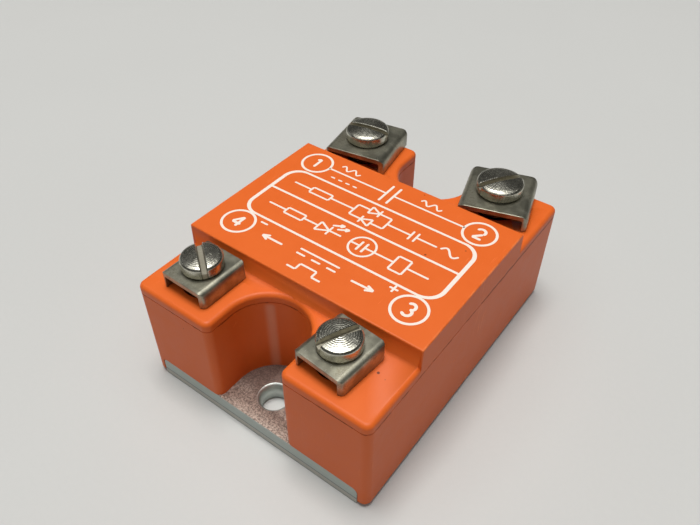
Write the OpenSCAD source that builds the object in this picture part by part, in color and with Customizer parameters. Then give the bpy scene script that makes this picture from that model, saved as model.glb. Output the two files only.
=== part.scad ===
// Panel-mount solid state relay: a potted plastic case on an aluminium base plate, with
// two load terminals at the +Y end and two control terminals at the -Y end.
// Z is up, X runs across the width, Y along the length; the origin is under the middle
// of the base plate. Terminals: 1 at -X +Y, 2 at +X +Y, 3 at +X -Y, 4 at -X -Y. All in mm.

/* [Case] */
// Length of the case between its two end faces
body_len = 58.4; // [54:0.2:72]
// Width of the case between its two long sides
body_w = 45.3; // [44.8:0.1:56]
// Height of the terminal decks above the mounting surface
deck_z = 21; // [20:0.1:25]
// How far the raised middle stands above the decks
plateau_h = 3.8; // [3:0.1:6]
// Length of the deck at the control end, up to the raised middle
control_deck = 12.5; // [12.2:0.1:14.5]
// Length of the deck at the load end, up to the raised middle
load_deck = 15.2; // [14.8:0.1:17]
// Height of the cover's rim below the decks, down to the parting line
rim_h = 1.7; // [1.3:0.1:2.5]
// Rounding of the decks' outer top edges
lip_r = 0.8; // [0.4:0.1:1.2]
// Rounding of the case's upright corners
corner_r = 1.3; // [1.2:0.1:2]
// Thickness of the two long side walls
side_wall = 1.7; // [1.2:0.1:2]
// Thickness of the end walls
end_wall = 1.2; // [1:0.05:1.2]
// Thickness of the cover's top wall over the raised middle
roof = 2; // [1.2:0.1:2.6]

/* [Notches] */
// Width of the notch in each end
notch_w = 14; // [11:0.1:14.2]
// Depth of each notch, from the end face to its round end
notch_depth = 12; // [10.5:0.1:12]
// Thickness of the wall around each notch
notch_wall = 1.1; // [0.8:0.1:1.2]

/* [Base plate] */
// Thickness of the base plate
plate_t = 3.8; // [3:0.1:5]
// How far the plate stands out below the case
plate_out = 0.9; // [0.3:0.1:1.5]
// Distance of each mounting hole from its end face
hole_inset = 5.4; // [4.6:0.1:6.5]
// Radius of the mounting holes
hole_r = 2.4; // [2.1:0.05:3]
// Width of the chamfer round each mounting hole
hole_chamfer = 0.45; // [0.2:0.05:0.8]

/* [Terminals] */
// Distance between the two control terminals
control_spacing = 26.7; // [26.7:0.1:28.5]
// Distance between the two load terminals
load_spacing = 28.6; // [27.6:0.1:29]
// How far all four terminals sit off the case's middle line, towards -X
terminal_shift = 0.75; // [0:0.05:0.75]
// Distance of the control terminals from their end face
control_end = 7; // [6.8:0.05:7.1]
// Distance of the load terminals from their end face
load_end = 6.3; // [6.3:0.05:6.8]
// Radius of the round wells of the control terminals
control_well_r = 3.8; // [3.3:0.1:3.8]
// Radius of the round wells of the load terminals
load_well_r = 4.4; // [3.8:0.1:4.4]
// Wall left around each well
well_wall = 0.5; // [0.4:0.05:0.6]
// Ring of space between a terminal post and its well
post_gap = 0.9; // [0.5:0.1:1]
// How far the posts stop below the deck
post_drop = 0.2; // [0:0.1:1]
// Length of the posts
post_h = 8.8; // [8:0.1:9.5]

/* [Screws] */
// Thread radius of the control screws
control_screw_r = 1.75; // [1.5:0.05:2]
// Thread radius of the load screws
load_screw_r = 2.08; // [1.8:0.05:2.5]
// Head radius of the control screws
control_head_r = 3.4; // [2.6:0.1:4]
// Head radius of the load screws
load_head_r = 4.1; // [3.3:0.1:5]
// Height of the screw heads in the middle
head_h = 2.2; // [1.6:0.1:3]
// Height of the collar between a head and its clamp
collar_h = 0.4; // [0.2:0.05:0.6]
// Length of the screws below the head
screw_len = 9.5; // [8:0.1:9.8]
// Width of the driver slots
slot_w = 1.1; // [0.8:0.05:1.5]
// Direction of each driver slot, terminals 1 to 4, in degrees
slot_turn = [10, 56, 65, -37]; // [-90:1:90]
// Radial clearance of a screw's thread in its post
thread_fit = 0.05; // [0.02:0.01:0.1]

/* [Clamps] */
// Width of the control clamps across their legs
control_clamp_w = 9.2; // [7.8:0.1:9.8]
// Length of the control clamps
control_clamp_l = 9.5; // [7.5:0.1:9.9]
// Width of the load clamps across their legs
load_clamp_w = 12.3; // [10:0.1:12.8]
// Length of the load clamps
load_clamp_l = 12.4; // [9.5:0.1:12.6]
// Height of the clamps' tops above the deck
clamp_h = 3.2; // [2.6:0.1:4.2]
// Thickness of the clamp sheet
clamp_t = 0.9; // [0.6:0.05:1]
// Outer radius of the control clamps' bends
control_bend_r = 1.1; // [1:0.05:1.5]
// Outer radius of the load clamps' bends
load_bend_r = 1.35; // [1:0.05:2]
// How the load clamps are turned on their screws, terminals 1 and 2, in degrees
load_clamp_turn = [10, 17]; // [-19:1:19]
// How the control clamps are turned on their screws, terminals 3 and 4, in degrees
control_clamp_turn = [-5, -1]; // [-9:1:9]

/* [Inside] */
// How far the potting compound stops below the copper straps' level runs
potting_drop = 0.4; // [0.2:0.1:2]
// Thickness of the insulating substrate
substrate_t = 0.9; // [0.5:0.1:1.2]
// Side of each thyristor chip
chip_w = 8; // [6:0.2:9]
// Thickness of the copper load straps
strap_t = 0.8; // [0.5:0.1:1.2]
// Thickness of the driver board
board_t = 1.6; // [1:0.1:1.8]

/* [Hidden] */
$fn = 64;
cut = 0.5;                                   // how far cutting shapes run past a face
gap = 0.1;                                   // clearance between parts that only meet
seam = 0.15;                                 // size of the groove along the parting line
part_z = deck_z - rim_h;                     // height of the parting line
top_z = deck_z + plateau_h;
notch_r = notch_w / 2;
notch_y = body_len / 2 - notch_depth + notch_r;   // centre of a notch's round end
plate_w = body_w - 2 * side_wall - 2 * gap;
plate_edge = 1;                              // rounding of the plate's two upper edges
plateau_y0 = -body_len / 2 + control_deck;
plateau_y1 = body_len / 2 - load_deck;
plateau_l = plateau_y1 - plateau_y0;
plateau_wall = 2;
hole_y = body_len / 2 - hole_inset;
control_y = body_len / 2 - control_end;
load_y = body_len / 2 - load_end;
post_top = deck_z - post_drop;
post_z = post_top - post_h;                  // underside of the posts
floor_z = post_z + 1.6;                      // underside of the wells' bottoms
well_floor = 1.2;
clamp_z = deck_z + clamp_h;                  // top face of the clamps
slot_d = 1.2;
rim_share = 0.5;                             // upright part of a head's height
collar_in = 0.3;                             // from a head's rim to its collar
bay = body_len - 2 * (notch_depth + notch_wall + gap);   // clear length between the notches
sub_w = 32;
sub_l = bay - 6;
pad_t = 0.3;
pad_w = 14;
pad_margin = 1;                              // bare rim of the substrate at the pads' ends
chip_t = 0.5;
chip_x = 7.4;
strap_w = 5;
strap_foot = 2.4;                            // length of a load strap's foot on its pad
chip_space = 0.6;                            // from a chip to the strap's foot
chip_y = sub_l / 2 - pad_margin - strap_foot - chip_space - chip_w / 2;
pad_z = plate_t + substrate_t;
chip_z = pad_z + pad_t;
clip_t = 0.3;
clip_w = 3;
pin_r = 0.4;
pin_out = 2.6;                               // from a chip's middle to its pins
board_w = 34;
board_l = bay - 7;
board_y = (plateau_y0 + plateau_y1) / 2;
board_z = post_z + 2;
part_top = board_z + board_t;                // where the parts on the board stand

function is_load(n) = n <= 2;
function spacing(n) = is_load(n) ? load_spacing : control_spacing;
function at_x(n) = (n == 1 || n == 4 ? -1 : 1) * spacing(n) / 2 - terminal_shift;
function at_y(n) = is_load(n) ? load_y : -control_y;
function well_r(n) = is_load(n) ? load_well_r : control_well_r;
function post_r(n) = well_r(n) - post_gap;
function screw_r(n) = is_load(n) ? load_screw_r : control_screw_r;
function head_r(n) = is_load(n) ? load_head_r : control_head_r;
function clamp_w(n) = is_load(n) ? load_clamp_w : control_clamp_w;
function clamp_l(n) = is_load(n) ? load_clamp_l : control_clamp_l;
function clamp_turn(n) = is_load(n) ? load_clamp_turn[n - 1] : control_clamp_turn[n - 3];
function bend_r(n) = is_load(n) ? load_bend_r : control_bend_r;

// A rectangle with rounded corners, centred
module round_rect(w, l, r) {
    square([w - 2 * r, l], center = true);
    square([w, l - 2 * r], center = true);
    for (x = [-1, 1], y = [-1, 1])
        translate([x * (w / 2 - r), y * (l / 2 - r)]) circle(r);
}

// The two end notches in plan, grown by d
module notches(d) {
    for (s = [-1, 1]) {
        translate([0, s * notch_y]) circle(notch_r + d);
        translate([0, s * (notch_y + notch_depth / 2)])
            square([notch_w + 2 * d, notch_depth], center = true);
    }
}

// Rounds off the four upright corners where the notches meet the end faces
module mouth_corners(d) {
    x = notch_r + d;
    y = body_len / 2 - d;
    for (mx = [0, 1], my = [0, 1])
        mirror([mx, 0]) mirror([0, my]) difference() {
            translate([x - cut, y - corner_r]) square([corner_r + cut, corner_r + cut]);
            translate([x + corner_r, y - corner_r]) circle(corner_r);
        }
}

// The case in plan, drawn in by d all round
module outline(d) {
    difference() {
        round_rect(body_w - 2 * d, body_len - 2 * d, corner_r);
        notches(d);
        mouth_corners(d);
    }
}

// The space inside the case's walls, in plan, drawn in by d
module inside(d) {
    difference() {
        square([body_w - 2 * (side_wall + d), body_len - 2 * (end_wall + d)], center = true);
        notches(notch_wall + d);
    }
}

// The base plate's cross-section, grown by d at its sides
module plate_section(d) {
    w = plate_w + 2 * d;
    translate([-w / 2, 0]) square([w, plate_t - plate_edge]);
    translate([-w / 2 + plate_edge, 0]) square([w - 2 * plate_edge, plate_t]);
    for (s = [-1, 1]) translate([s * (w / 2 - plate_edge), plate_t - plate_edge]) circle(plate_edge);
}

// Runs a cross-section along the whole length of the case, plus extra at each end
module along_y(extra) {
    translate([0, body_len / 2 + extra, 0]) rotate([90, 0, 0])
        linear_extrude(body_len + 2 * extra) children();
}

// What has to go to round an edge: the material lies on the -X and -Y side of [0, 0]
module lip_section() {
    translate([-lip_r, -lip_r]) difference() {
        square(lip_r + cut);
        circle(lip_r);
    }
}

// A straight piece of that cut, along +Y from the origin
module lip_run(l) {
    translate([0, l, 0]) rotate([90, 0, 0]) linear_extrude(l) lip_section();
}

// The cut round one upright corner that is centred on the origin, in the first quarter
module lip_corner(r) {
    rotate_extrude(angle = 90) translate([r, 0]) lip_section();
}

// All the cuts for half a deck, on the +X side of the +Y end; deck is the deck's length
module deck_lip(deck) {
    run_y = body_len / 2 - corner_r;
    translate([body_w / 2, body_len / 2 - deck, 0]) lip_run(deck - corner_r);
    translate([body_w / 2 - corner_r, run_y, 0]) lip_corner(corner_r);
    translate([notch_r + corner_r, body_len / 2, 0])
        rotate([0, 0, 90]) mirror([0, 1, 0]) lip_run(body_w / 2 - notch_r - 2 * corner_r);
    translate([notch_r + corner_r, run_y, 0]) rotate([0, 0, 90]) lip_corner(corner_r);
    translate([notch_r, notch_y, 0]) mirror([1, 0, 0]) lip_run(run_y - notch_y);
}

// The cut round the round end of the notch at the +Y end
module notch_lip() {
    translate([0, notch_y, 0]) rotate([0, 0, 180])
        rotate_extrude(angle = 180) translate([notch_r, 0]) mirror([1, 0]) lip_section();
}

module base_plate() {
    color("silver") difference() {
        along_y(0) plate_section(0);
        for (s = [-1, 1]) translate([0, s * hole_y, 0]) {
            translate([0, 0, -cut]) cylinder(r = hole_r, h = plate_t + 2 * cut);
            translate([0, 0, plate_t - hole_chamfer])
                cylinder(r1 = hole_r, r2 = hole_r + 2 * hole_chamfer, h = 2 * hole_chamfer);
            mirror([0, 0, 1]) translate([0, 0, -hole_chamfer])
                cylinder(r1 = hole_r, r2 = hole_r + 2 * hole_chamfer, h = 2 * hole_chamfer);
        }
    }
}

module lower_case() {
    color("orangered") difference() {
        union() {
            translate([0, 0, plate_out]) linear_extrude(part_z - seam - plate_out) outline(0);
            translate([0, 0, plate_out]) linear_extrude(part_z - plate_out) outline(seam / 2);
        }
        along_y(cut) plate_section(gap);
        translate([0, 0, plate_t - gap]) linear_extrude(part_z) inside(0);
    }
}

module top_cover() {
    color("orangered") difference() {
        union() {
            difference() {
                translate([0, 0, part_z]) linear_extrude(rim_h) outline(0);
                translate([0, 0, deck_z]) {
                    for (x = [0, 1]) mirror([x, 0, 0]) {
                        deck_lip(load_deck);
                        mirror([0, 1, 0]) deck_lip(control_deck);
                    }
                    for (y = [0, 1]) mirror([0, y, 0]) notch_lip();
                }
            }
            translate([-body_w / 2, plateau_y0, part_z]) cube([body_w, plateau_l, top_z - part_z]);
            for (n = [1:4]) translate([at_x(n), at_y(n), floor_z])
                cylinder(r = well_r(n) + well_wall, h = part_z - floor_z + gap);
        }
        translate([-body_w / 2 + plateau_wall, plateau_y0 + plateau_wall, part_z - cut])
            cube([body_w - 2 * plateau_wall, plateau_l - 2 * plateau_wall, top_z - roof - part_z + cut]);
        for (n = [1:4]) translate([at_x(n), at_y(n), 0]) {
            translate([0, 0, floor_z + well_floor]) cylinder(r = well_r(n), h = top_z);
            cylinder(r = post_r(n) + gap / 2, h = top_z);
        }
    }
}

// A threaded post that stands in its well and carries a flange on the well's floor
module terminal_post(n) {
    color("gold") translate([at_x(n), at_y(n), 0]) difference() {
        union() {
            translate([0, 0, post_z]) cylinder(r = post_r(n), h = post_h);
            translate([0, 0, floor_z + well_floor + gap / 2])
                cylinder(r = well_r(n) - gap, h = well_floor);
        }
        translate([0, 0, clamp_z - screw_len - 2 * gap])
            cylinder(r = screw_r(n) + thread_fit, h = screw_len + top_z);
    }
}

// A sheet saddle: a flat top with a screw hole, bent down into a leg at each side
module wire_clamp(n) {
    w = clamp_w(n);
    l = clamp_l(n);
    leg = clamp_h - gap;
    out_r = bend_r(n);
    in_r = out_r - clamp_t;
    color("gainsboro") translate([at_x(n), at_y(n), clamp_z]) rotate([0, 0, clamp_turn(n)])
        difference() {
            intersection() {
                translate([0, l / 2, 0]) rotate([90, 0, 0]) linear_extrude(l) difference() {
                    union() {
                        translate([-w / 2, -leg]) square([w, leg - out_r]);
                        translate([-w / 2 + out_r, -out_r]) square([w - 2 * out_r, out_r]);
                        for (s = [-1, 1]) translate([s * (w / 2 - out_r), -out_r]) circle(out_r);
                    }
                    translate([-w / 2 + clamp_t, -leg - cut]) square([w - 2 * clamp_t, leg - out_r + cut]);
                    translate([-w / 2 + out_r, -out_r - cut]) square([w - 2 * out_r, in_r + cut]);
                    for (s = [-1, 1]) translate([s * (w / 2 - out_r), -out_r]) circle(in_r);
                }
                translate([0, 0, -clamp_h]) linear_extrude(clamp_h + cut) round_rect(w, l, clamp_t);
            }
            translate([0, 0, -clamp_h]) cylinder(r = screw_r(n) + 2 * gap, h = clamp_h + cut);
        }
}

// A slotted screw with a low domed head on a collar, standing just clear of its clamp
module clamp_screw(n) {
    rise = head_h * (1 - rim_share);
    dome = (head_r(n) * head_r(n) + rise * rise) / (2 * rise);
    color("silver") translate([at_x(n), at_y(n), clamp_z + gap / 2 + collar_h]) difference() {
        union() {
            intersection() {
                cylinder(r = head_r(n), h = head_h);
                translate([0, 0, head_h - dome]) sphere(dome);
            }
            translate([0, 0, -collar_h]) cylinder(r = head_r(n) - collar_in, h = collar_h + gap);
            translate([0, 0, -collar_h - screw_len])
                cylinder(r = screw_r(n), h = screw_len + collar_h + head_h / 3);
        }
        rotate([0, 0, slot_turn[n - 1]]) translate([0, 0, head_h + cut - slot_d / 2])
            cube([2 * head_r(n) + cut, slot_w, slot_d + 2 * cut], center = true);
    }
}

module substrate() {
    color("white") translate([-sub_w / 2, -sub_l / 2, plate_t]) cube([sub_w, sub_l, substrate_t]);
}

// A copper pad on the substrate; s is the side it lies on
module track_pad(s) {
    color("peru") translate([s * chip_x - pad_w / 2, pad_margin - sub_l / 2, pad_z])
        cube([pad_w, sub_l - 2 * pad_margin, pad_t]);
}

// One chip on each pad, set off from each other along the length
module thyristor(s) {
    color("dimgray") translate([s * chip_x - chip_w / 2, s * chip_y - chip_w / 2, chip_z])
        cube([chip_w, chip_w, chip_t]);
}

// A copper clip from the top of one chip across to the other chip's pad
module cross_clip(s) {
    color("sandybrown") mirror([s < 0 ? 1 : 0, 0, 0]) translate([0, s * chip_y - clip_w / 2, 0]) {
        translate([-chip_x - clip_w / 2, 0, chip_z + chip_t]) cube([2 * chip_x + clip_w, clip_w, clip_t]);
        translate([-chip_x - clip_w / 2, 0, chip_z]) cube([clip_w, clip_w, chip_t + clip_t]);
    }
}

// A copper strap from a pad up to the underside of a load post
module load_strap(s) {
    foot_y = chip_y + chip_w / 2 + chip_space;
    rise_y = foot_y + strap_foot - strap_t;
    post_x = at_x(s < 0 ? 1 : 2);
    x0 = s * (chip_x + pad_w / 2 - strap_w / 2) - strap_w / 2;
    top_x0 = min(x0, post_x);
    top_x1 = max(x0 + strap_w, post_x);
    color("chocolate") {
        translate([x0, foot_y, chip_z]) cube([strap_w, strap_foot, strap_t]);
        translate([x0, rise_y, chip_z]) cube([strap_w, strap_t, post_z - chip_z]);
        translate([top_x0, rise_y, post_z - strap_t])
            cube([top_x1 - top_x0, load_y + strap_t - rise_y, strap_t]);
    }
}

// A copper strap from a control post's underside to the driver board
module control_strap(s) {
    x = at_x(s < 0 ? 4 : 3) - strap_w / 4;
    y1 = board_y - board_l / 2 + 2;
    color("chocolate") {
        translate([x, -control_y - 2, post_z - strap_t])
            cube([strap_w / 2, y1 + control_y + 2, strap_t]);
        translate([x, y1 - strap_t, post_z - strap_t]) cube([strap_w / 2, strap_t, board_z - post_z + strap_t]);
    }
}

// A pin from each chip and one from each pad, up to the board
module gate_pins() {
    color("goldenrod") for (s = [-1, 1], on_chip = [0, 1]) {
        z = chip_z + on_chip * chip_t;
        translate([s * (chip_x + pin_out), (2 * on_chip - 1) * s * chip_y + pin_out, z])
            cylinder(r = pin_r, h = board_z - z, $fn = 24);
    }
}

module driver_board() {
    color("darkgreen") translate([-board_w / 2, board_y - board_l / 2, board_z])
        cube([board_w, board_l, board_t]);
}

module opto_coupler() {
    color("black") translate([-10, board_y - 4, part_top]) {
        cube([6.4, 8.8, 3.3]);
        for (x = [-0.5, 6.4], y = [1.2, 3.8, 6.4]) translate([x, y, 0]) cube([0.5, 1.2, 1.6]);
    }
}

// A round part with two bent wires, lying along X on the board
module axial_part(r, l, wire) {
    translate([-l / 2, 0, r]) rotate([0, 90, 0]) cylinder(r = r, h = l);
    for (s = [-1, 1]) {
        translate([s * (l / 2 + wire), 0, 0]) cylinder(r = 0.35, h = r + 0.35, $fn = 24);
        translate([s * (l + wire) / 2, 0, r]) rotate([0, 90, 0])
            cylinder(r = 0.35, h = wire, center = true, $fn = 24);
    }
}

module input_resistor() {
    color("tan") translate([6, board_y - 8, part_top]) axial_part(1.2, 6.5, 1.2);
}

module input_diode() {
    color("black") translate([-7, board_y - 8, part_top]) axial_part(1.3, 5, 1.2);
}

module driver_transistor() {
    color("black") translate([0.5, board_y - 1, part_top + 0.8]) intersection() {
        cylinder(r = 2.3, h = 4.4);
        translate([-3, -1.4, 0]) cube([6, 4, 4.4]);
    }
    color("gray") for (x = [-1.27, 0, 1.27]) translate([0.5 + x, board_y - 1, part_top])
        cylinder(r = 0.25, h = 1, $fn = 24);
}

module snubber_capacitor() {
    color("firebrick") translate([-2, board_y + 4.6, part_top]) cube([13, 5, 5.6]);
}

module snubber_resistor() {
    color("khaki") translate([9.6, board_y + 0.5, part_top]) axial_part(1.8, 9, 1);
}

// The compound that fills the lower part of the case round the power parts
module potting() {
    color("darkslategray") difference() {
        translate([0, 0, plate_t])
            linear_extrude(post_z - strap_t - potting_drop - plate_t) inside(gap / 2);
        substrate();
        for (s = [-1, 1]) {
            track_pad(s);
            thyristor(s);
            cross_clip(s);
            load_strap(s);
        }
        gate_pins();
    }
}

base_plate();
lower_case();
top_cover();
terminal_post(1);  // terminal_post_1
terminal_post(2);  // terminal_post_2
terminal_post(3);  // terminal_post_3
terminal_post(4);  // terminal_post_4
wire_clamp(1);  // wire_clamp_1
wire_clamp(2);  // wire_clamp_2
wire_clamp(3);  // wire_clamp_3
wire_clamp(4);  // wire_clamp_4
clamp_screw(1);  // clamp_screw_1
clamp_screw(2);  // clamp_screw_2
clamp_screw(3);  // clamp_screw_3
clamp_screw(4);  // clamp_screw_4
substrate();
track_pad(-1);  // track_pad_1
track_pad(1);  // track_pad_2
thyristor(-1);  // thyristor_1
thyristor(1);  // thyristor_2
cross_clip(-1);  // cross_clip_1
cross_clip(1);  // cross_clip_2
load_strap(-1);  // load_strap_1
load_strap(1);  // load_strap_2
control_strap(1);  // control_strap_3
control_strap(-1);  // control_strap_4
gate_pins();
driver_board();
opto_coupler();
input_resistor();
input_diode();
driver_transistor();
snubber_capacitor();
snubber_resistor();
potting();
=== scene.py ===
import math
import bmesh
import bpy
import numpy as np
from mathutils import Matrix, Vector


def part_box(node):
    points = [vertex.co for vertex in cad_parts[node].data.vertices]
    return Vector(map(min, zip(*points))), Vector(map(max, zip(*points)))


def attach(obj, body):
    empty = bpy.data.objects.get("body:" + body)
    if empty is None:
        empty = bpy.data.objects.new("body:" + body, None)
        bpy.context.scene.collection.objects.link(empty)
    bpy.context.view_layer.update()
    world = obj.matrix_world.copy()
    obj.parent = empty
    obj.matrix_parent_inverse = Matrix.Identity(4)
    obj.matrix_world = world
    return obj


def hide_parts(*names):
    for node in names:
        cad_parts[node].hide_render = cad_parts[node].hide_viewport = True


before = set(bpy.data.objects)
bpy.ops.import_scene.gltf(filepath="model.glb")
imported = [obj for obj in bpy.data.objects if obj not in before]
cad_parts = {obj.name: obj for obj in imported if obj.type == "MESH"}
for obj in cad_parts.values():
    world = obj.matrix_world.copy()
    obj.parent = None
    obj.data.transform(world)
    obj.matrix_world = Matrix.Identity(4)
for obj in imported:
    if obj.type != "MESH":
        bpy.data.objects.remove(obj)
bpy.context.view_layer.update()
mm = 0.001
print("frame loaded,", len(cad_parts), "nodes")

# ---- camera and light ----

# place in mm; turn is towards the load end from +Y, fall is the look downwards, both in degrees
cameraView = {"place": (49.81, -70.02, 95.84), "turn": 36.60, "fall": 42.78, "roll": 0.13,
              "lens": 34.74, "sensor": 36.0, "nearest": 0.005}          # nearest in metres
lens = bpy.data.cameras.new("camera")
lens.lens, lens.sensor_width = cameraView["lens"], cameraView["sensor"]
lens.clip_start = cameraView["nearest"]
camera = bpy.data.objects.new("camera", lens)
bpy.context.scene.collection.objects.link(camera)
camera.matrix_world = (Matrix.Translation([v * mm for v in cameraView["place"]])
                       @ Matrix.Rotation(math.radians(cameraView["turn"]), 4, "Z")
                       @ Matrix.Rotation(math.radians(90 - cameraView["fall"]), 4, "X")
                       @ Matrix.Rotation(math.radians(cameraView["roll"]), 4, "Z"))
bpy.context.scene.camera = camera

# soft boxes: place and size in mm, strength in watts, colour
lampSet = {
    "overhead": {"place": (-70, 20, 1500), "size": (560, 560), "power": 17.5, "tint": (1.0, 0.993, 0.98)},
    "ceiling": {"place": (0, -200, 1650), "size": (2200, 2200), "power": 18.0, "tint": (0.99, 0.995, 1.0)},
    "window": {"place": (-1500, -300, 700), "size": (900, 900), "power": 0.5, "tint": (0.93, 0.96, 1.0)},
}
roomLight = {"tint": (1.0, 0.99, 0.96), "strength": 0.02}

for lampName, lampData in lampSet.items():
    glow = bpy.data.lights.new(lampName, "AREA")
    glow.shape, glow.energy, glow.color = "RECTANGLE", lampData["power"], lampData["tint"]
    glow.size, glow.size_y = (v * mm for v in lampData["size"])
    lamp = bpy.data.objects.new(lampName, glow)
    bpy.context.scene.collection.objects.link(lamp)
    lampPlace = Matrix.Translation([v * mm for v in lampData["place"]])
    lamp.matrix_world = lampPlace @ lampPlace.translation.to_track_quat("Z", "Y").to_matrix().to_4x4()

room = bpy.data.worlds.new("room")
room.use_nodes = True
room.node_tree.nodes["Background"].inputs["Color"].default_value = (*roomLight["tint"], 1)
room.node_tree.nodes["Background"].inputs["Strength"].default_value = roomLight["strength"]
bpy.context.scene.world = room
bpy.context.scene.view_settings.view_transform = "Standard"
print("camera and", len(lampSet), "lights set")


# ---- shader maths ----

# one socket of a finish; each operator adds the Math node of its name
class Wire:
    def __init__(self, finish, socket):
        self.finish, self.socket = finish, socket

    def __add__(self, other): return self.finish.sum("ADD", self, other)
    def __radd__(self, other): return self.finish.sum("ADD", other, self)
    def __sub__(self, other): return self.finish.sum("SUBTRACT", self, other)
    def __rsub__(self, other): return self.finish.sum("SUBTRACT", other, self)
    def __mul__(self, other): return self.finish.sum("MULTIPLY", self, other)
    def __rmul__(self, other): return self.finish.sum("MULTIPLY", other, self)
    def __truediv__(self, other): return self.finish.sum("DIVIDE", self, other)
    def __rtruediv__(self, other): return self.finish.sum("DIVIDE", other, self)
    def __gt__(self, other): return self.finish.sum("GREATER_THAN", self, other)


# a material with one Principled shader: plain values are given on making it, varying ones to set()
class Finish:
    def __init__(self, name, **plain):
        self.material = bpy.data.materials.new(name)
        self.material.use_nodes = True
        self.tree = self.material.node_tree
        self.shader = self.tree.nodes["Principled BSDF"]
        for socket, value in plain.items():
            self.shader.inputs[socket.replace("_", " ")].default_value = value
        self.objectPlace = self.node("ShaderNodeTexCoord", out="Object")
        self.x, self.y, self.z = self.split(self.objectPlace)

    # any node: settings first, then its sockets' values or links; out is the wire that is handed back
    def node(self, kind, settings=None, inputs=None, out=0):
        made = self.tree.nodes.new(kind)
        for key, value in (settings or {}).items():
            setattr(made, key, value)
        for key, value in (inputs or {}).items():
            if isinstance(value, Wire):
                self.tree.links.new(value.socket, made.inputs[key])
            elif isinstance(value, tuple):
                made.inputs[key].default_value = (*value, 1)      # a colour, with its alpha
            else:
                made.inputs[key].default_value = value
        return Wire(self, made.outputs[out])

    def sum(self, operation, a, b=0.0):
        return self.node("ShaderNodeMath", {"operation": operation}, {0: a, 1: b})

    # how far a place is from the origin of two axes
    def length(self, a, b):
        return self.sum("SQRT", a * a + b * b)

    def split(self, vector):
        first = self.node("ShaderNodeSeparateXYZ", inputs={0: vector}, out=0)
        return [Wire(self, first.socket.node.outputs[i]) for i in range(3)]

    # 0 below low, 1 above high, smooth between; swap them to turn it round
    def step(self, value, low, high):
        return self.node("ShaderNodeMapRange", {"interpolation_type": "SMOOTHSTEP"},
                         {"Value": value, "From Min": low, "From Max": high})

    # noise whose grain is size metres, stretched by (x, y, z) times
    def noise(self, size, stretch=(1, 1, 1), detail=3.0, rough=0.55, shift=0.0):
        spread = self.node("ShaderNodeMapping", inputs={
            "Vector": self.objectPlace, "Location": [shift] * 3, "Scale": [1 / (size * s) for s in stretch]})
        return self.node("ShaderNodeTexNoise", inputs={
            "Vector": spread, "Scale": 1.0, "Detail": detail, "Roughness": rough}, out="Fac")

    # scattered round dots: 1 inside a dot; share is how much of a cell it fills
    def dots(self, cell, share, shift=0.0):
        spread = self.node("ShaderNodeMapping", inputs={
            "Vector": self.objectPlace, "Location": [shift] * 3, "Scale": [1 / cell] * 3})
        far = self.node("ShaderNodeTexVoronoi", inputs={"Vector": spread, "Scale": 1.0}, out="Distance")
        return self.step(far, share, share * 0.6)

    # mask 0 gives colour a, 1 gives colour b
    def mix(self, mask, a, b):
        return self.node("ShaderNodeMix", {"data_type": "RGBA"}, {0: mask, 6: a, 7: b}, out=2)

    def bump(self, height, depth, strength=1.0):
        return self.node("ShaderNodeBump", inputs={"Height": height, "Distance": depth, "Strength": strength},
                         out="Normal")

    # joins the varying wires to the shader
    def set(self, **wires):
        for socket, wire in wires.items():
            self.tree.links.new(wire.socket, self.shader.inputs[socket.replace("_", " ")])
        return self.material


# linear colour from an sRGB colour of 0 to 255
def tone(r, g, b):
    part = np.array((r, g, b)) / 255
    return tuple(float(v) for v in np.where(part <= 0.04045, part / 12.92, ((part + 0.055) / 1.055) ** 2.4))


# a colour made darker or lighter
def shade(colour, times):
    return tuple(min(1.0, c * times) for c in colour)


# ---- where things are ----

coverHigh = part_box("top_cover")[1]
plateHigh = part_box("base_plate")[1]
topZ = coverHigh.z                                        # the raised middle's top
terminalAt = {n: (sum(v[0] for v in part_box(f"terminal_post_{n}")) / 2,
                  sum(v[1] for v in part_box(f"terminal_post_{n}")) / 2) for n in range(1, 5)}
clampTop = {n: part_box(f"wire_clamp_{n}")[1].z for n in range(1, 5)}
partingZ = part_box("lower_case")[1].z
mountingHole = {"radius": 2.4, "fromEnd": 5.4}            # mm
holeRadius = mountingHole["radius"] * mm
holeY = plateHigh.y - mountingHole["fromEnd"] * mm


# ---- finishes ----

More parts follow.
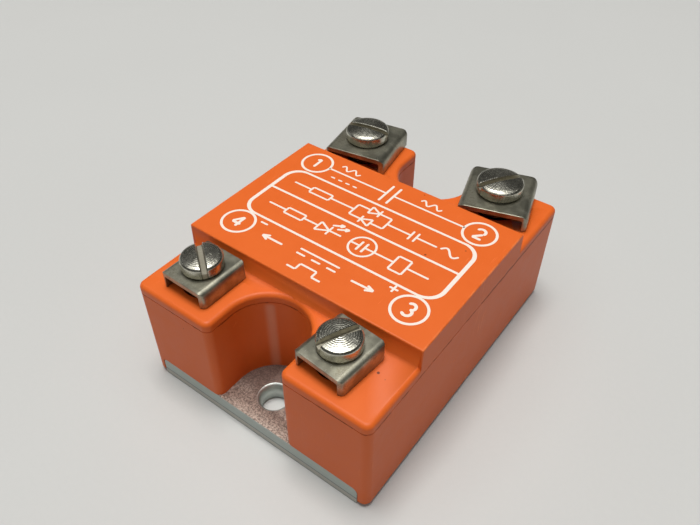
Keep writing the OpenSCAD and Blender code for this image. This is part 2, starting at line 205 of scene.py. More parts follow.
# moulded orange plastic, a little dull: grain, faint clouds, rubbed edges, scuffs, dust and specks, and a
# painted reflection streak in the near notch's wall
def makeCasePlastic():
    # pale is the colour of the painted reflection streak in the notch's wall
    plastic = {"colour": tone(224, 106, 39), "dull": tone(212, 94, 33), "rubbed": tone(236, 134, 76),
               "grime": tone(70, 30, 18), "pale": tone(226, 168, 140), "rough": 0.45, "edge": 0.35 * mm,
               "nick": (18.2, -20.8), "marks": 1.8, "notchReflection": -4.1}          # places in mm: x and y, y, x
    f = Finish("case_plastic", IOR=1.46, Specular_IOR_Level=0.28)
    clouds = f.noise(14 * mm, detail=4)
    fineClouds = f.noise(2.2 * mm, detail=5, shift=3.1)
    grain = f.noise(0.16 * mm, detail=2, rough=0.7)
    # distance from the long upper edges of the raised middle
    inX = coverHigh.x - f.sum("ABSOLUTE", f.x)
    rim = f.length(topZ - f.z, inX)
    worn = f.step(rim, plastic["edge"], plastic["edge"] * 0.3) * f.step(fineClouds, 0.38, 0.62)
    scuffs = f.noise(0.12 * mm, stretch=(1, 24, 14), detail=1, shift=1.7)
    scuffMask = f.step(scuffs, 0.70, 0.76) * f.step(f.noise(6 * mm, shift=8.2), 0.52, 0.66)
    drips = f.step(f.noise(0.35 * mm, stretch=(1, 1, 18), detail=2, shift=5.5), 0.62, 0.75) * f.step(
        f.sum("ABSOLUTE", f.x), coverHigh.x - 0.1 * mm, coverHigh.x - 0.02 * mm) * f.step(
        f.noise(5 * mm, shift=2.4), 0.5, 0.62)
    # grime along the parting line, thicker on the rear half of the right side
    rear = f.step(f.y, -1 * mm, 5 * mm) * f.step(f.x, coverHigh.x - 0.5 * mm, coverHigh.x - 0.3 * mm)
    fromSeam = f.sum("ABSOLUTE", f.z - partingZ + (fineClouds - 0.5) * 0.9 * mm)
    seamDirt = f.step(fromSeam, (0.26 + 0.22 * rear) * mm, 0.05 * mm) * f.step(
        fineClouds + rear * 0.25, 0.42, 0.6)
    specks = f.dots(6.5 * mm, 0.035, shift=0.37)
    # painted reflection: a pale upright streak in the near notch's wall
    notchReflection = f.step(f.sum("ABSOLUTE", f.x - plastic["notchReflection"] * mm), 1.0 * mm, 0.15 * mm) * f.step(
        f.z, 19.3 * mm, 18.2 * mm) * f.step(f.y, -16.9 * mm, -17.3 * mm)
    # one nick in the deck beside terminal 3, and a few pale scratches down the right side
    nickX, nickY = (v * mm for v in plastic["nick"])
    nick = f.step(f.length(f.x - nickX, f.y - nickY), 0.28 * mm, 0.16 * mm)
    down = f.noise(0.2 * mm, stretch=(1, 1, 26), detail=1, shift=6.4)
    fromMarks = f.sum("ABSOLUTE", f.y - plastic["marks"] * mm)
    sideMarks = f.step(down, 0.60, 0.68) * f.step(fromMarks, 2.4 * mm, 1.2 * mm) * (
        f.step(f.x, coverHigh.x - 0.1 * mm, coverHigh.x - 0.04 * mm) * f.step(f.z, 11 * mm, 13 * mm))
    colour = f.mix(clouds * 0.5 + fineClouds * 0.35, plastic["dull"], plastic["colour"])
    colour = f.mix(worn * 0.55, colour, plastic["rubbed"])
    colour = f.mix(scuffMask * 0.35 + drips * 0.3, colour, shade(plastic["rubbed"], 1.15))
    # the painted reflection streak in the notch's wall, in the pale pinkish colour
    colour = f.mix(notchReflection * 0.45, colour, plastic["pale"])
    colour = f.mix(sideMarks * 0.5, colour, shade(plastic["rubbed"], 1.3))
    colour = f.mix(seamDirt * 0.6, colour, shade(plastic["dull"], 0.35))
    colour = f.mix(specks * 0.75, colour, plastic["grime"])
    colour = f.mix(nick * 0.9, colour, shade(plastic["dull"], 0.12))
    rough = plastic["rough"] + (fineClouds - 0.5) * 0.16 - worn * 0.1 + scuffMask * 0.12
    return f.set(Base_Color=colour, Roughness=rough,
                 Normal=f.bump(grain + 1.6 * fineClouds + scuffMask * 0.4, 0.010 * mm, 0.5))


# rolled aluminium plate: fine drawn lines, crystal sparkle on its faces, a duller sheared end, painted light
# and shade on its face in the notch, and a painted contact shadow at the foot of each end
def makePlateMetal():
    # stain colours the real stains and also the painted shade farther into the notch
    plate = {"face": tone(196, 180, 166), "end": tone(188, 196, 190), "stain": tone(120, 98, 88),
             "rough": 0.62, "breakLine": 1.42}                  # height of the break line in mm
    f = Finish("plate_aluminium")
    lines = f.noise(0.07 * mm, stretch=(14, 1, 1), detail=3)
    sparkle = f.noise(0.22 * mm, detail=4, rough=0.75, shift=2.2)
    clouds = f.noise(5 * mm, detail=4, shift=4.4)
    sheared = f.noise(0.09 * mm, stretch=(26, 1, 1), detail=3, shift=6.1)
    ends = f.step(f.sum("ABSOLUTE", f.y), plateHigh.y - 0.06 * mm, plateHigh.y - 0.01 * mm)
    # the shear's bright burnished band and its darker break line, low on each end
    lip = f.step(f.z, 1.35 * mm, 1.2 * mm) * f.step(f.z, 0.2 * mm, 0.35 * mm)
    crack = f.step(f.sum("ABSOLUTE", f.z - plate["breakLine"] * mm), 0.16 * mm, 0.05 * mm)
    # painted contact shadow: a dark band along the foot of each end, where it meets the table
    footShadow = f.step(f.z, 0.3 * mm, 0.12 * mm)
    # painted light and shade: bright crystals show only near the end, where the face is painted lighter;
    # farther in it is painted a darker pinkish brown for the shade and orange reflection of the notch's
    # walls, and so is the middle of the underside
    fromMiddle = f.sum("ABSOLUTE", f.y) + (clouds - 0.5) * 5 * mm
    litNearEnd = f.step(fromMiddle, plateHigh.y - 6.5 * mm, plateHigh.y - 1 * mm)
    crystal = f.step(f.noise(0.30 * mm, detail=5, rough=0.8, shift=9.7), 0.40, 0.62)
    notchShade = f.mix(crystal * 0.6, shade(plate["stain"], 0.5), shade(plate["stain"], 1.25))
    colour = f.mix(litNearEnd * (0.2 + 0.72 * crystal), notchShade, shade(plate["face"], 1.04))
    colour = f.mix(f.step(clouds, 0.56, 0.74) * 0.35, colour, plate["stain"])
    endColour = f.mix(sheared, shade(plate["end"], 0.72), shade(plate["end"], 1.05))
    endColour = f.mix(lip * 0.45, endColour, shade(plate["face"], 0.95))
    # the break line and the painted contact shadow at the foot darken the end
    endColour = f.mix(f.sum("MAXIMUM", crack, footShadow) * 0.75, endColour, shade(plate["end"], 0.18))
    # the holes' walls and chamfers are cut clean
    fromHole = f.length(f.x, f.sum("ABSOLUTE", f.y) - holeY)
    bore = f.step(fromHole, holeRadius + 0.5 * mm, holeRadius + 0.42 * mm)
    colour = f.mix(bore * 0.85, colour, shade(plate["end"], 1.1))
    rough = plate["rough"] + (sparkle - 0.5) * 0.35 - bore * 0.22
    return f.set(Base_Color=f.mix(ends, colour, endColour), Roughness=rough,
                 Metallic=0.62 - ends * 0.42 + bore * 0.3,
                 Normal=f.bump(lines * 0.5 + sparkle + crystal * 0.8 + ends * sheared, 0.016 * mm, 0.6))


# dull nickel on pressed sheet: rolling lines, rubbed spots, brown tarnish and fine scratches
def makeClampSteel():
    sheet = {"colour": tone(178, 175, 156), "tarnish": tone(98, 86, 70), "bright": tone(222, 216, 202),
             "rough": 0.32}
    f = Finish("nickel_steel", Metallic=0.9)
    clouds = f.noise(3.4 * mm, detail=5, shift=1.3)
    fine = f.noise(0.3 * mm, detail=4, rough=0.7, shift=7.7)
    rolled = f.noise(0.05 * mm, stretch=(18, 1, 18), detail=2, shift=3.3)
    scratches = f.step(f.noise(0.06 * mm, stretch=(3, 30, 8), detail=1, shift=9.1), 0.72, 0.78)
    pits = f.dots(0.9 * mm, 0.11, shift=0.8)
    colour = f.mix(f.step(clouds, 0.36, 0.62), shade(sheet["colour"], 0.54), sheet["colour"])
    tarnished = f.step(clouds * 0.6 + fine * 0.4, 0.50, 0.66)
    colour = f.mix(tarnished * 0.55, colour, sheet["tarnish"])
    colour = f.mix(scratches * 0.5, colour, sheet["bright"])
    colour = f.mix(pits * 0.5, colour, shade(sheet["tarnish"], 0.6))
    rough = sheet["rough"] + (fine - 0.5) * 0.22 + clouds * 0.1 - scratches * 0.08
    return f.set(Base_Color=colour, Roughness=rough,
                 Normal=f.bump(rolled * 0.6 + fine + 0.8 * scratches - pits, 0.007 * mm, 0.5))


# bright turned screw: rings and the slot's place come from the head's own map, with patches of grime,
# scratches, and painted shade on the slot's floor, darkest along both walls
def makeScrewSteel():
    turned = {"colour": tone(208, 205, 190), "shadow": tone(112, 100, 84), "slot": tone(140, 130, 108),
              "rough": 0.2, "ring": 0.34}                       # distance between the rings in mm
    f = Finish("screw_steel", Metallic=1.0)
    headMap = f.node("ShaderNodeUVMap", {"uv_map": "headMap"})
    u, v, _ = f.split(headMap)
    ringWave = f.length(u, v) * (2 * math.pi / (turned["ring"] * mm))
    rings = f.sum("SINE", ringWave + 2 * f.noise(0.9 * mm, detail=1, shift=3.6))
    uneven = f.noise(0.5 * mm, detail=3, shift=2.9)
    clouds = f.noise(1.8 * mm, detail=4, shift=5.2)
    scratches = f.step(f.noise(0.05 * mm, stretch=(22, 3, 6), detail=1, shift=4.1), 0.72, 0.78)
    fromSlot, slotWidth = f.sum("ABSOLUTE", v), screwHead["slotWidth"] * mm
    slotMask = f.step(fromSlot, slotWidth * 0.52, slotWidth * 0.46)
    colour = f.mix(f.step(clouds, 0.38, 0.62), shade(turned["colour"], 0.78), turned["colour"])
    colour = f.mix(f.step(uneven * 0.5 + clouds * 0.5, 0.52, 0.68) * 0.4, colour, turned["shadow"])
    # painted shade: the slot's floor is painted in the darker slot colour, and darkest along both walls
    slotWallShade = f.step(fromSlot, slotWidth * 0.28, slotWidth * 0.45)
    colour = f.mix(slotMask * (0.35 + 0.4 * uneven), colour, turned["slot"])
    colour = f.mix(slotMask * slotWallShade * 0.8, colour, shade(turned["slot"], 0.25))
    rough = turned["rough"] + uneven * 0.12 + slotMask * 0.25 + scratches * 0.1
    relief = rings * 0.8 * (1 - slotMask) + uneven * 2.7 + scratches * 0.5
    return f.set(Base_Color=colour, Roughness=rough, Normal=f.bump(relief, 0.014 * mm, 0.8))


# printed white ink, thin in places so that the plastic shows through
def makeInk():
    ink = {"colour": tone(232, 220, 208), "thin": tone(228, 178, 138), "rough": 0.5}
    f = Finish("legend_ink", IOR=1.5)
    patches = f.noise(0.45 * mm, detail=4, rough=0.7, shift=1.9)
    grain = f.noise(0.09 * mm, detail=2, shift=6.6)
    thin = f.step(patches * 0.7 + grain * 0.3, 0.56, 0.70)
    return f.set(Base_Color=f.mix(thin * 0.5, ink["colour"], ink["thin"]),
                 Roughness=ink["rough"] + patches * 0.15, Normal=f.bump(grain, 0.008 * mm, 0.4))


# plated metal in general: clouds, stains and a grain of the given stretch
def makePlated(name, colour, stain, rough, stretch=(1, 1, 1)):
    f = Finish(name, Metallic=1.0)
    clouds = f.noise(1.6 * mm, detail=4, shift=2.7)
    grain = f.noise(0.08 * mm, stretch=stretch, detail=3, shift=5.9)
    stained = f.step(clouds, 0.50, 0.70)
    return f.set(Base_Color=f.mix(stained * 0.6, f.mix(grain, shade(colour, 0.85), colour), stain),
                 Roughness=rough + (grain - 0.5) * 0.2 + stained * 0.15,
                 Normal=f.bump(grain, 0.006 * mm, 0.5))


# matt moulded or fired material: speckle, clouds and a pitted skin
def makeMatt(name, colour, speck, rough, grainSize=0.12, depth=0.008):
    f = Finish(name, IOR=1.5)
    clouds = f.noise(2.5 * mm, detail=4, shift=3.8)
    grain = f.noise(grainSize * mm, detail=3, rough=0.7, shift=1.1)
    clouded = f.mix(clouds, shade(colour, 0.8), colour)
    return f.set(Base_Color=f.mix(f.step(grain, 0.55, 0.72) * 0.5, clouded, speck),
                 Roughness=rough + (grain - 0.5) * 0.2, Normal=f.bump(grain + clouds * 0.5, depth * mm, 0.6))


# green board: glass weave under the lacquer and copper tracks on a square grid
def makeBoard():
    board = {"mask": tone(20, 84, 48), "track": tone(58, 124, 66), "weave": 0.5, "pitch": 2.54, "width": 0.2}
    f = Finish("board_laminate", IOR=1.5, Coat_Weight=0.3, Coat_Roughness=0.2)
    wave = lambda value, size: f.sum("SINE", value * (2 * math.pi / (size * mm)))
    weave = wave(f.x, board["weave"]) * wave(f.y, board["weave"])
    cell = lambda value: f.sum("ABSOLUTE", f.sum("FRACT", value / (board["pitch"] * mm)) - 0.5)
    blocks = f.noise(5.5 * mm, detail=0, shift=3.0) > 0.5
    across = f.step(cell(f.x), board["width"], board["width"] - 0.04) * blocks
    along = f.step(cell(f.y), board["width"], board["width"] - 0.04) * (1 - blocks)
    tracks = f.sum("MAXIMUM", across, along)
    clouds = f.noise(3 * mm, detail=3)
    green = f.mix(clouds, shade(board["mask"], 0.8), board["mask"])
    return f.set(Base_Color=f.mix(tracks * 0.7, green, board["track"]),
                 Roughness=0.38 + clouds * 0.1, Normal=f.bump(weave * 0.3 + tracks, 0.015 * mm, 0.6))


# lacquered resistor: a tan body with colour rings set along the part's own length
def makeResistor(name, node, rings):
    low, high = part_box(node)
    axis = max(range(3), key=lambda i: high[i] - low[i])
    f = Finish(name, IOR=1.5, Coat_Weight=0.25)
    along = ((f.x, f.y, f.z)[axis] - low[axis]) / (high[axis] - low[axis])
    clouds = f.noise(1.2 * mm, detail=4)
    colour = f.mix(clouds, tone(196, 164, 118), tone(214, 186, 142))
    for place, ringColour in rings:
        colour = f.mix(f.step(f.sum("ABSOLUTE", along - place), 0.045, 0.035), colour, tone(*ringColour))
    return f.set(Base_Color=colour, Roughness=0.34 + clouds * 0.16,
                 Normal=f.bump(f.noise(0.3 * mm, detail=3, shift=4.0), 0.012 * mm, 0.5))


# plain pale table top with the faintest clouds and grain
def makeTable():
    f = Finish("table_top", IOR=1.45, Specular_IOR_Level=0.25)
    clouds = f.noise(90 * mm, detail=3)
    grain = f.noise(0.9 * mm, detail=3, shift=2.0)
    pale = f.mix(clouds * 0.6 + grain * 0.4, tone(189, 189, 186), tone(197, 197, 194))
    return f.set(Base_Color=pale, Roughness=0.55 + grain * 0.1, Normal=f.bump(grain, 0.01 * mm, 0.3))


# ---- mesh helpers ----

# numbers of the quads that join a grid of rows by cols points, first point number start
def gridQuads(rows, cols, start=0, loopCols=False):
    a, b = np.meshgrid(np.arange(rows - 1), np.arange(cols if loopCols else cols - 1), indexing="ij")
    c = (b + 1) % cols
    corners = [a * cols + b, a * cols + c, (a + 1) * cols + c, (a + 1) * cols + b]
    return start + np.stack(corners, -1).reshape(-1, 4)


# a piece from points and quads: doubles are merged, thin quads at poles are closed up, normals turned
# outwards, and edges sharper than the given angle stay sharp; spot is a map of two numbers for each point
def makePiece(name, points, quads, material, sharp=35, spot=None):
    mesh = bpy.data.meshes.new(name)
    mesh.from_pydata(points.reshape(-1, 3), [], quads)
    if spot is not None:
        corner = np.empty(len(mesh.loops), np.int32)
        mesh.loops.foreach_get("vertex_index", corner)
        mesh.uv_layers.new(name="headMap").data.foreach_set("uv", spot.reshape(-1, 2)[corner].ravel())
    work = bmesh.new()
    work.from_mesh(mesh)
    bmesh.ops.remove_doubles(work, verts=work.verts, dist=2e-7)
    bmesh.ops.dissolve_degenerate(work, edges=work.edges, dist=1e-8)
    bmesh.ops.recalc_face_normals(work, faces=work.faces)
    work.to_mesh(mesh)
    work.free()
    mesh.shade_smooth()
    mesh.set_sharp_from_angle(angle=math.radians(sharp))
    piece = bpy.data.objects.new(name, mesh)
    bpy.context.scene.collection.objects.link(piece)
    mesh.materials.append(material)
    return piece


# a copy of a CAD node for a piece with eased edges: triangles are merged and flat ones joined, then a bevel
# rounds the edges that are sharper than limit, or the ones that pick() marks from their middles in mm
def easedCopy(node, name, material, width, limit=40, pick=None):
    work = bmesh.new()
    work.from_mesh(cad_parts[node].data)
    bmesh.ops.remove_doubles(work, verts=work.verts, dist=1e-6)
    bmesh.ops.dissolve_limit(work, angle_limit=math.radians(0.3), verts=work.verts, edges=work.edges)
    work.edges.ensure_lookup_table()
    if pick:
        ends = np.array([[v.co[:] for v in e.verts] for e in work.edges]) / mm
        turn = np.array([math.degrees(e.calc_face_angle(0.0)) for e in work.edges])
        marked = pick(ends.mean(1), np.abs(ends[:, 1] - ends[:, 0])) & (turn > limit)
        layer = work.edges.layers.float.new("bevel_weight_edge")
        for e, m in zip(work.edges, marked):
            e[layer] = float(m)
    mesh = bpy.data.meshes.new(name)
    work.to_mesh(mesh)
    work.free()
    mesh.shade_smooth()
    mesh.set_sharp_from_angle(angle=math.radians(32))
    piece = bpy.data.objects.new(name, mesh)
    bpy.context.scene.collection.objects.link(piece)
    mesh.materials.append(material)
    bevel = piece.modifiers.new("eased edges", "BEVEL")
    bevel.width, bevel.segments, bevel.use_clamp_overlap = width * mm, 3, False
    bevel.limit_method, bevel.angle_limit = ("WEIGHT" if pick else "ANGLE"), math.radians(limit)
    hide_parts(node)
    return piece


# ---- case, cover and plate ----

easeWidth = {"cover": 0.22, "case": 0.05, "plate": 0.12}       # mm
casePlastic = makeCasePlastic()
plateMetal = makePlateMetal()


# the raised middle's upper rim and its four upright corners
def coverEdges(middle, span):
    high = middle[:, 2] > topZ / mm - 0.05
    upright = (span[:, 2] > 2) & (np.abs(middle[:, 0]) > coverHigh.x / mm - 0.05)
    return high | upright


# the case's lower rim
def caseEdges(middle, span):
    return middle[:, 2] < 1.0


# the plate's two ends
def plateEdges(middle, span):
    return np.abs(middle[:, 1]) > plateHigh.y / mm - 0.1


cover = easedCopy("top_cover", "cover", casePlastic, easeWidth["cover"], pick=coverEdges)
case = easedCopy("lower_case", "case", casePlastic, easeWidth["case"], pick=caseEdges)
plate = easedCopy("base_plate", "plate", plateMetal, easeWidth["plate"], pick=plateEdges)
for piece, slotName in ((cover, "case_plastic"), (case, "case_plastic"), (plate, "plate_aluminium")):
    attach(piece, "relay")
print("case, cover and plate eased")


# ---- clamps ----

clampEase = {"width": 0.07, "limit": 50}                        # mm, degrees
clampSteel = makeClampSteel()
for n in range(1, 5):
    clamp = easedCopy(f"wire_clamp_{n}", f"clamp_{n}", clampSteel, clampEase["width"], clampEase["limit"])
    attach(clamp, f"clamp_{n}")
print("clamps eased")


# ---- screws ----

# lengths in mm, with radii and turns in degrees for terminals 1 to 4; above its upright side the head has a
# shoulder and a crown; across, along, spokes and rings are the numbers of points on its surfaces
screwHead = {"headRadius": (4.1, 4.1, 3.4, 3.4), "threadRadius": (2.08, 2.08, 1.75, 1.75), "side": 1.3,
             "shoulder": 0.5, "bend": 14.0, "crown": 0.32, "slotWidth": 1.05, "slotDepth": 1.2,
             "slotChamfer": 0.09, "slotTurn": (10, 56, 65, -37), "collar": 0.4, "collarIn": 0.3,
             "collarTop": 0.05, "lift": 0.05, "length": 9.5, "pitch": 25.4 / 32, "threadDepth": 0.42,
             "tip": 0.7, "tipIn": 0.6, "overlap": 0.3,
             "across": 32, "along": 65, "slotRows": 5, "collarSpokes": 48, "spokes": 40, "rings": 150}


# a closed shell between an upper and a lower grid of the same size: both grids, the lower one turned over,
# and a wall from each outer row and column of the one to the same of the other
def shellBetween(upper, lower):
    rows, cols = upper.shape[:2]
    count = rows * cols
    number = np.arange(count).reshape(rows, cols)
    ring = np.concatenate([number[0, :-1], number[:-1, -1], number[-1, :0:-1], number[:0:-1, 0]])
    after = np.roll(ring, -1)
    walls = np.stack([ring, ring + count, after + count, after], -1)
    return (np.concatenate([upper.reshape(-1, 3), lower.reshape(-1, 3)]),
            np.concatenate([gridQuads(rows, cols)[:, ::-1], gridQuads(rows, cols, count), walls]))


# the head: rows at v across the slot, and along each row u = sin(t) times the chord's half length. Its height
# is side + shoulder sqrt(1 - a^bend) + crown (1 - a^2) where a = r / R, and the floor inside the slot
def headShell(radius):
    h = screwHead
    half, chamfer = h["slotWidth"] / 2, h["slotChamfer"]
    outer = radius * np.sin(np.linspace(math.asin((half + chamfer) / radius), math.pi / 2, h["across"]))
    inner = np.linspace(-half, half, h["slotRows"])
    v = np.concatenate([-outer[::-1], [-half], inner, [half], outer])
    # 0 on the dome, 1 on the slot's chamfered edges, 2 on its floor
    dome, edge, slot = np.zeros(h["across"]), [1], np.full(h["slotRows"], 2)
    level = np.concatenate([dome, edge, slot, edge, dome])[:, None]
    t = np.sin(np.linspace(-math.pi / 2, math.pi / 2, h["along"]))
    chord = np.sqrt(np.maximum(radius ** 2 - v ** 2, 0))
    u = chord[:, None] * t[None, :]
    vv = np.broadcast_to(v[:, None], u.shape)
    away = np.minimum(np.hypot(u, vv) / radius, 1)
    dome = h["side"] + h["shoulder"] * np.sqrt(1 - away ** h["bend"]) + h["crown"] * (1 - away ** 2)
    floor = h["side"] + h["shoulder"] + h["crown"] - h["slotDepth"] + 0 * dome
    z = np.where(level == 0, dome, np.where(level == 1, np.maximum(dome - chamfer, floor), floor))
    z = np.where((level == 2) & (dome < floor), dome, z)
    return shellBetween(np.stack([u, vv, z], -1), np.stack([u, vv, 0 * z], -1))


# points of a turned surface from its radii and heights, one row for each of them
def turnedPoints(r, z, angle):
    return np.stack([r * np.cos(angle), r * np.sin(angle), z + 0 * angle], -1).reshape(-1, 3)


# the collar: a plain drum from inside the head down to its clamp, drawn in to a point at both ends
def collarShell(radius):
    h = screwHead
    angle = np.linspace(0, 2 * math.pi, h["collarSpokes"], endpoint=False)[None, :]
    r = np.array([0, radius, radius, 0])[:, None]
    z = np.array([-h["collar"]] * 2 + [h["collarTop"]] * 2)[:, None]
    return turnedPoints(r, z, angle), gridQuads(len(r), h["collarSpokes"], loopCols=True)


# the thread: radius = crest - depth |1 - 2 frac(z / pitch - angle / 2 pi)| cut off to flat crests and roots,
# on a grid of angle by height, drawn in to a point at both ends
def threadShell(radius):
    h = screwHead
    angle = np.linspace(0, 2 * math.pi, h["spokes"], endpoint=False)[None, :]
    rise = np.linspace(-h["length"] - h["collar"], h["overlap"], h["rings"])[:, None]
    wave = np.abs(1 - 2 * np.mod(rise / h["pitch"] - angle / (2 * math.pi), 1))
    ridge = radius - h["threadDepth"] * np.clip(wave * 1.3 - 0.12, 0, 1)
    tip = np.clip((rise + h["length"] + h["collar"]) / h["tip"], 0, 1)
    ridge = np.minimum(ridge, radius - h["tipIn"] + h["tipIn"] * tip)
    r = np.concatenate([0 * ridge[:1], ridge, 0 * ridge[:1]])
    z = np.concatenate([rise[:1], rise, rise[-1:]])
    return turnedPoints(r, z, angle), gridQuads(len(r), h["spokes"], loopCols=True)


screwSteel = makeScrewSteel()
for n in range(1, 5):
    headPoints, headQuads = headShell(screwHead["headRadius"][n - 1])
    stemPoints, stemQuads = threadShell(screwHead["threadRadius"][n - 1])
    collarPoints, collarQuads = collarShell(screwHead["headRadius"][n - 1] - screwHead["collarIn"])
    points = np.concatenate([headPoints, stemPoints, collarPoints])
    stemStart, collarStart = len(headPoints), len(headPoints) + len(stemPoints)
    quads = np.concatenate([headQuads, stemQuads + stemStart, collarQuads + collarStart])
    turn = math.radians(screwHead["slotTurn"][n - 1])
    turned = points[:, :2] @ np.array([[math.cos(turn), math.sin(turn)], [-math.sin(turn), math.cos(turn)]])
    rise = points[:, 2] + screwHead["lift"] + screwHead["collar"]
    place = np.column_stack([turned, rise]) * mm + (*terminalAt[n], clampTop[n])
    screw = makePiece(f"screw_{n}", place, quads, screwSteel, sharp=38, spot=points[:, :2] * mm)
    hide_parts(f"clamp_screw_{n}")
    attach(screw, f"screw_{n}")
print("screws turned")


# ---- printed legend ----

# in mm on the raised middle; stroke to number are widths, step and arcStep the distances between points
legend = {"stroke": 0.44, "thin": 0.36, "fine": 0.32, "arrow": 0.4, "number": 0.5,
          "sink": 0.02, "rise": 0.015, "layer": 0.0015, "layers": 6, "step": 0.12, "arcStep": 0.1,
          "wavePoints": 26, "barb": 1.35, "barbSpread": 0.42,
          "circleX": 16.85, "loadY": 9.65, "controlY": -11.3, "circle": 2.82,
          "frameX": 19.1, "frameLow": -8.1, "frameHigh": 6.1, "frameCorner": 2.9, "frameWide": 0.68,
          "frameBlend": 0.7, "divider": -0.6}
inkWhite = makeInk()


# evenly spaced points on a line through the given corners
def through(*corners):
    corners = np.array(corners, float)
    reach = np.concatenate([[0], np.cumsum(np.hypot(*np.diff(corners, axis=0).T))])
    s = np.linspace(0, reach[-1], max(3, int(reach[-1] / legend["step"])))
    return np.column_stack([np.interp(s, reach, corners[:, i]) for i in (0, 1)])


# points on an arc round a centre, from one angle to another in degrees
def arc(x, y, r, start, end):
    count = max(6, int(abs(end - start) * math.pi / 180 * r / legend["arcStep"]))
    a = np.radians(np.linspace(start, end, count))
    return np.column_stack([x + r * np.cos(a), y + r * np.sin(a)])


# a sine wave from x by the given length, height and number of waves
def sineWave(x, y, length, height, waves):
    s = np.linspace(0, 1, legend["wavePoints"] * waves)
    return np.column_stack([x + length * s, y + height * np.sin(2 * math.pi * waves * s)])


# the straight pieces of a bent line, each a path of its own
def pieces(*corners):
    return [through(a, b) for a, b in zip(corners[:-1], corners[1:])]


# one flat stroke along a path: at distance s the half width is w, rounded off as a half circle over the last
# w of each open end, and the section is a rectangle from sink below the surface to rise above it
def stroke(path, width, closed=False, widths=None):
    if closed:
        ahead = np.roll(path, -1, 0) - np.roll(path, 1, 0)
        half = (widths if widths is not None else np.full(len(path), width)) / 2
    else:
        reach = np.concatenate([[0], np.cumsum(np.hypot(*np.diff(path, axis=0).T))])
        w, whole = width / 2, reach[-1]
        cap = w * (1 - np.cos(np.linspace(0, math.pi / 2, 6)))
        s = np.unique(np.concatenate([cap, reach[(reach > w) & (reach < whole - w)], whole - cap]))
        path = np.column_stack([np.interp(s, reach, path[:, i]) for i in (0, 1)])
        ahead = np.gradient(path, axis=0)
        near = np.clip(np.minimum(s, whole - s) / w, 0, 1)
        half = w * np.sqrt(1 - (1 - near) ** 2)
    ahead = ahead / np.hypot(*ahead.T)[:, None]
    side = np.column_stack([-ahead[:, 1], ahead[:, 0]]) * half[:, None]
    low, high = np.full(len(path), -legend["sink"]), np.full(len(path), legend["rise"])
    section = np.stack([np.column_stack([path + side, high]), np.column_stack([path - side, high]),
                        np.column_stack([path - side, low]), np.column_stack([path + side, low])], 1)
    if closed:
        section = np.concatenate([section, section[:1]])
    return section.reshape(-1, 3), gridQuads(len(section), 4, loopCols=True)


# all strokes of one part of the legend as one piece
def printed(name, strokes):
    points, quads, count = [], [], 0
    for i, made in enumerate(strokes):
        made[0][:, 2] += legend["layer"] * (i % legend["layers"])    # crossing strokes don't share a surface
        points.append(made[0])
        quads.append(made[1] + count)
        count += len(made[0])
    place = np.concatenate(points) * mm + (0, 0, topZ)
    piece = makePiece(name, place, np.concatenate(quads), inkWhite)
    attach(piece, "relay")
    return piece


# numerals as strokes about their own middle, 2.7 mm high
numeral = {
    1: pieces((0.12, -1.3), (0.12, 1.3), (-0.55, 0.78)),
    2: [arc(0, 0.55, 0.75, 165, -38), *pieces((0.59, 0.09), (-0.78, -1.25), (0.85, -1.25))],
    3: [arc(0, 0.64, 0.66, 155, -85), arc(-0.02, -0.6, 0.73, 85, -155)],
    4: [*pieces((0.35, 1.3), (-0.9, -0.5), (0.85, -0.5)), through((0.35, 1.3), (0.35, -1.3))],
}
circleAt = {1: (-legend["circleX"], legend["loadY"]), 2: (legend["circleX"], legend["loadY"]),
            3: (legend["circleX"], legend["controlY"]), 4: (-legend["circleX"], legend["controlY"])}


# a whole circle
def ring(x, y, r, width):
    return stroke(arc(x, y, r, 0, 360)[:-1], width, closed=True)


# thin strokes from corner to corner
def line(*corners, width=legend["thin"]):
    return [stroke(path, width) for path in pieces(*corners)]


# one level line
def level(y, x0, x1, width=legend["thin"]):
    return line((x0, y), (x1, y), width=width)


printed("legend_circles", [ring(*circleAt[n], legend["circle"], legend["stroke"]) for n in circleAt])
printed("legend_numerals", [stroke(path + circleAt[n], legend["number"])
                            for n in circleAt for path in numeral[n]])


# the load circuit: a line from circle to circle, broken by the two bars of a contact, with a wave on each
# side and a row of dashes
loadSigns = {"bars": (-1.5, 0.05), "barEnds": (7.15, 12.2), "waveX": (-12.4, 4.6), "wave": (4.2, 0.55, 2),
             "waveY": 11.3, "dashX": (-12.2, -10.6, -9.0, -7.4), "dash": 0.9, "dashY": 7.75, "overlap": 0.05}


def loadStrokes():
    signs, y = loadSigns, legend["loadY"]
    reach = legend["circleX"] - legend["circle"] + signs["overlap"]
    strokes = level(y, -reach, signs["bars"][0]) + level(y, signs["bars"][1], reach)
    for x in signs["bars"]:
        strokes += line(*((x, end) for end in signs["barEnds"]), width=legend["stroke"])
    strokes += [stroke(sineWave(x, signs["waveY"], *signs["wave"]), legend["fine"]) for x in signs["waveX"]]
    for x in signs["dashX"]:
        strokes += level(signs["dashY"], x, x + signs["dash"], width=legend["fine"])
    return strokes


printed("legend_load", loadStrokes())


# the rounded frame, heavier round its two ends, with a line along its middle
def frameStrokes():
    x, low, high, r = legend["frameX"], legend["frameLow"], legend["frameHigh"], legend["frameCorner"]
    path = np.concatenate([arc(x - r, high - r, r, 0, 90), through((x - r, high), (r - x, high))[1:-1],
                           arc(r - x, high - r, r, 90, 180), through((-x, high - r), (-x, low + r))[1:-1],
                           arc(r - x, low + r, r, 180, 270), through((r - x, low), (x - r, low))[1:-1],
                           arc(x - r, low + r, r, 270, 360), through((x, low + r), (x, high - r))[1:-1]])
    heavy = np.clip((np.abs(path[:, 0]) - (x - r)) / r, 0, 1) ** legend["frameBlend"]
    widths = legend["stroke"] + (legend["frameWide"] - legend["stroke"]) * heavy
    divider = level(legend["divider"], -x, x, width=legend["stroke"])
    return [stroke(path, 0, closed=True, widths=widths)] + divider


printed("legend_frame", frameStrokes())


